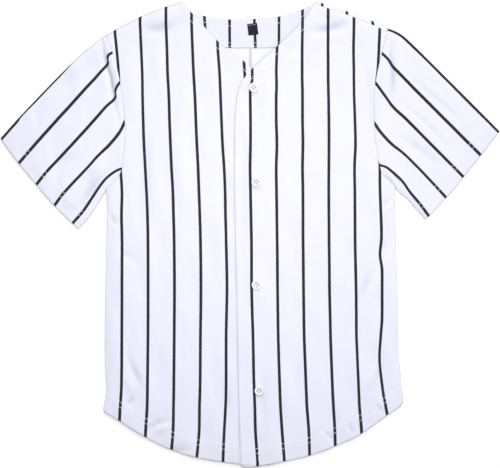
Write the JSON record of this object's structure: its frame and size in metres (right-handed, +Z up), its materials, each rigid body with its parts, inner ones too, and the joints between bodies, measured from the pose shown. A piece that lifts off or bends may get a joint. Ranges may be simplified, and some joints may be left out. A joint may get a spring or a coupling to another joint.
{
  "type": "baseball jersey",
  "caption": "Short-sleeved pinstriped baseball jersey with a V neck, a buttoned front and a curved hem, laid flat with its front up",
  "frame": {"origin": "On the table the jersey lies on, under the middle of its box.", "axes": "+X to the right as the jersey is seen from above, which is the wearer's left; +Y towards the neck; +Z up, out of the jersey's front."},
  "size_m": [0.7986, 0.7447, 0.0096],
  "materials": {
    "pinstriped_jersey": "matte double knit polyester, white with dark pinstripes",
    "woven_label": "matte woven",
    "button_plastic": "satin"
  },
  "bodies": {
    "root": {"back": "pinstriped_jersey", "front_right": "pinstriped_jersey", "front_left": "pinstriped_jersey", "sleeve_right": "pinstriped_jersey", "sleeve_left": "pinstriped_jersey", "neck_facing": "pinstriped_jersey", "label": "woven_label", "button_1": "button_plastic", "button_2": "button_plastic", "button_3": "button_plastic", "button_4": "button_plastic"}
  },
  "joints": []
}
